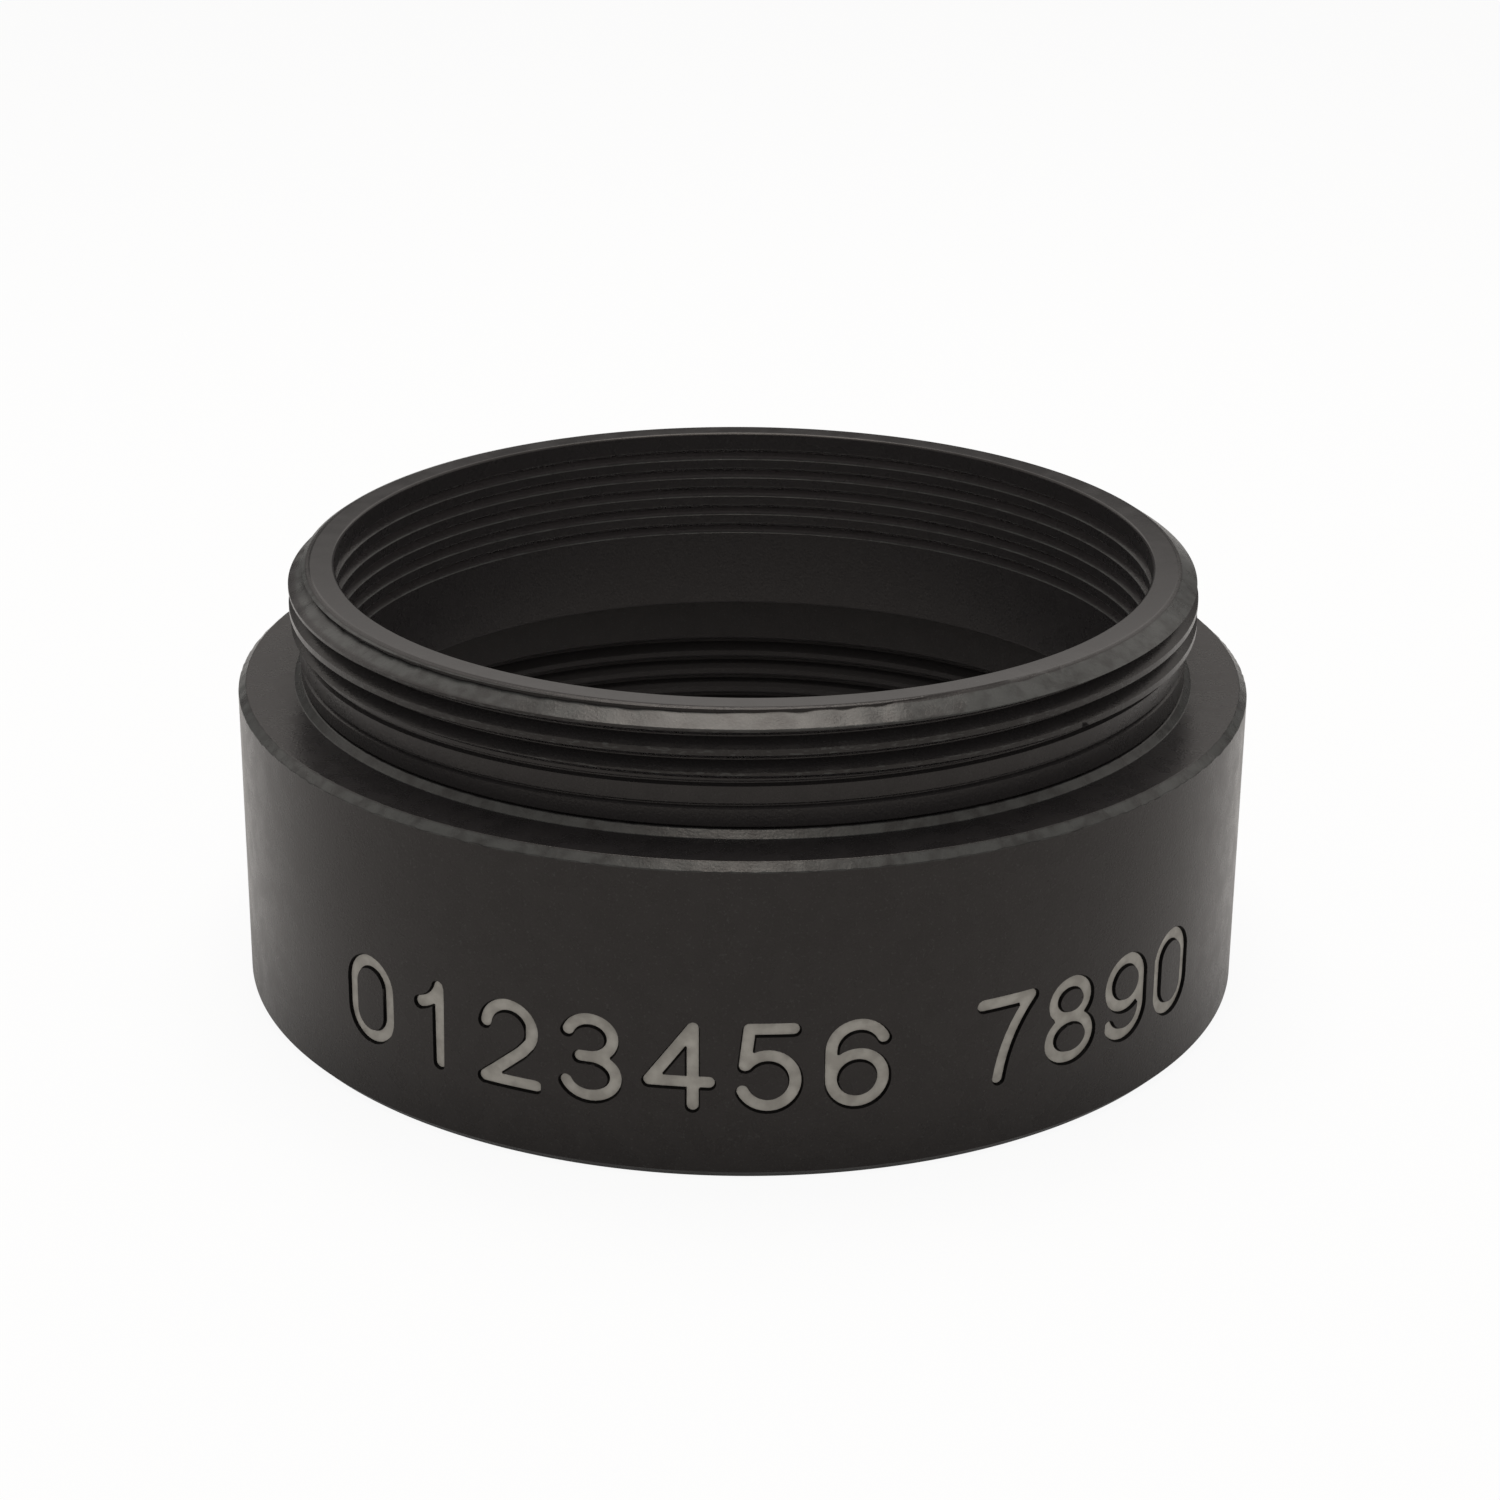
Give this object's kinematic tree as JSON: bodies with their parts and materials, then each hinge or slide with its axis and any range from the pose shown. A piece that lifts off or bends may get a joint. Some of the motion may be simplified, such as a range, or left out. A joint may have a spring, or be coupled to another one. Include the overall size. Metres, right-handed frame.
{
  "type": "lens tube",
  "caption": "Short threaded optical spacer ring with a flanged body, male and female fine threads, and a through bore lined with anti-glare grooves",
  "frame": {"origin": "centre of the flat bottom face that the tube stands on", "axes": "+Z along the optical axis, from the socket's face up to the spigot's end face; X and Y are free, because the solid is round"},
  "size_m": [0.029, 0.029, 0.0124],
  "materials": {
    "black_anodised": "satin"
  },
  "bodies": {
    "root": {"tube_body": "black_anodised"}
  },
  "joints": []
}
